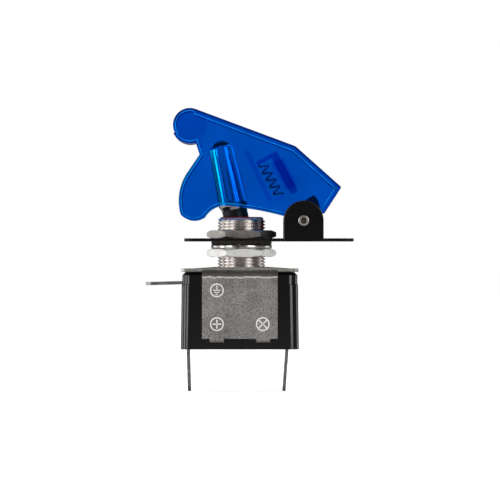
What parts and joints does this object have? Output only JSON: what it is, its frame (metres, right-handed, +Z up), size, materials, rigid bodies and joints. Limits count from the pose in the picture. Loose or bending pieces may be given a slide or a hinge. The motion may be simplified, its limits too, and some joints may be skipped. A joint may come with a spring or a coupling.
{
  "type": "illuminated toggle switch with safety cover",
  "caption": "Panel toggle switch with a lit bat lever, blade terminals and a see-through flip-up safety cover hinged on a sheet-metal guard plate",
  "frame": {"origin": "on the bushing's axis, at the underside of the guard plate, which lies on the panel", "axes": "+Z up along the bushing towards the lever, +X towards the cover's hinge, +Y across the switch along the lever's and the cover's hinge axes"},
  "size_m": [0.0528, 0.0194, 0.0719],
  "materials": {
    "black_steel": "black painted sheet steel, semi-gloss",
    "rivet_nickel": "nickel-plated tubular rivet",
    "black_nylon": "black moulded nylon",
    "nickel_turned": "nickel-plated turned brass",
    "spring_steel": "spring steel",
    "nickel_nut": "nickel-plated, satin",
    "black_rubber": "black rubber",
    "nickel_washer": "nickel-plated spring steel",
    "plated_sheet": "zinc-plated pressed sheet with a speckled grain",
    "black_case": "black moulded thermoset, satin",
    "tinned_brass": "tinned brass sheet",
    "silver_contact": "silver contact metal",
    "brass_strip": "brass",
    "copper_strip": "copper alloy strip",
    "resistor_body": "painted resistor body",
    "chrome_bat": "polished chrome plate",
    "led_lens": "dark blue clear lens",
    "led_body": "clear epoxy",
    "tinned_wire": "tinned wire",
    "blue_cover": "see-through blue moulded plastic, glossy",
    "blue_slider": "blue moulded plastic"
  },
  "bodies": {
    "switch_body": {"guard_bracket": "black_steel", "hinge_rivet": "rivet_nickel", "snap_cam": "black_nylon", "bushing": "nickel_turned", "ball_retainer": "spring_steel", "upper_nut": "nickel_nut", "sealing_washer": "black_rubber", "lock_washer": "nickel_washer", "lower_nut": "nickel_nut", "yoke": "plated_sheet", "housing_cap": "black_case", "housing_base": "black_case", "terminal_power": "tinned_brass", "terminal_load": "tinned_brass", "terminal_earth": "tinned_brass", "fixed_contact": "silver_contact", "rocker_fulcrum": "brass_strip", "resistor": "resistor_body"},
    "lever": {"actuator": "black_nylon", "pivot_pin": "spring_steel", "lever_bat": "chrome_bat", "lens": "led_lens", "led": "led_body", "led_leads": "tinned_wire", "plunger_spring": "spring_steel"},
    "contact_plunger": {"contact_plunger": "brass_strip"},
    "rocker": {"contact_rocker": "copper_strip", "moving_contact": "silver_contact"},
    "cover": {"safety_cover": "blue_cover", "snap_spring": "spring_steel"},
    "snap_plunger": {"snap_plunger": "blue_slider"}
  },
  "joints": [
    {"name": "cover_hinge", "type": "hinge", "parent": "switch_body", "child": "cover", "pos_m": [0.01575, 0, 0.0053], "axis": [0, 1, 0], "range_deg": [0, 60]},
    {"name": "lever_tilt", "type": "hinge", "parent": "switch_body", "child": "lever", "pos_m": [0, 0, -0.0004], "axis": [0, 1, 0], "range_deg": [0, 22]},
    {"name": "plunger_slide", "type": "slide", "parent": "lever", "child": "contact_plunger", "axis": [-0.2079, 0, 0.9781], "range_m": [0, 0.0006], "deforming": ["plunger_spring"]},
    {"name": "rocker_tilt", "type": "hinge", "parent": "switch_body", "child": "rocker", "pos_m": [0, 0, -0.01475], "axis": [0, 1, 0], "range_deg": [-16, 0]},
    {"name": "snap_slide", "type": "slide", "parent": "cover", "child": "snap_plunger", "axis": [-0.4756, 0, 0.8796], "range_m": [0, 0.001], "deforming": ["snap_spring"]}
  ],
  "couplings": [
    {"joint": "rocker_tilt", "follows": "lever_tilt", "ratio": -0.72727}
  ]
}
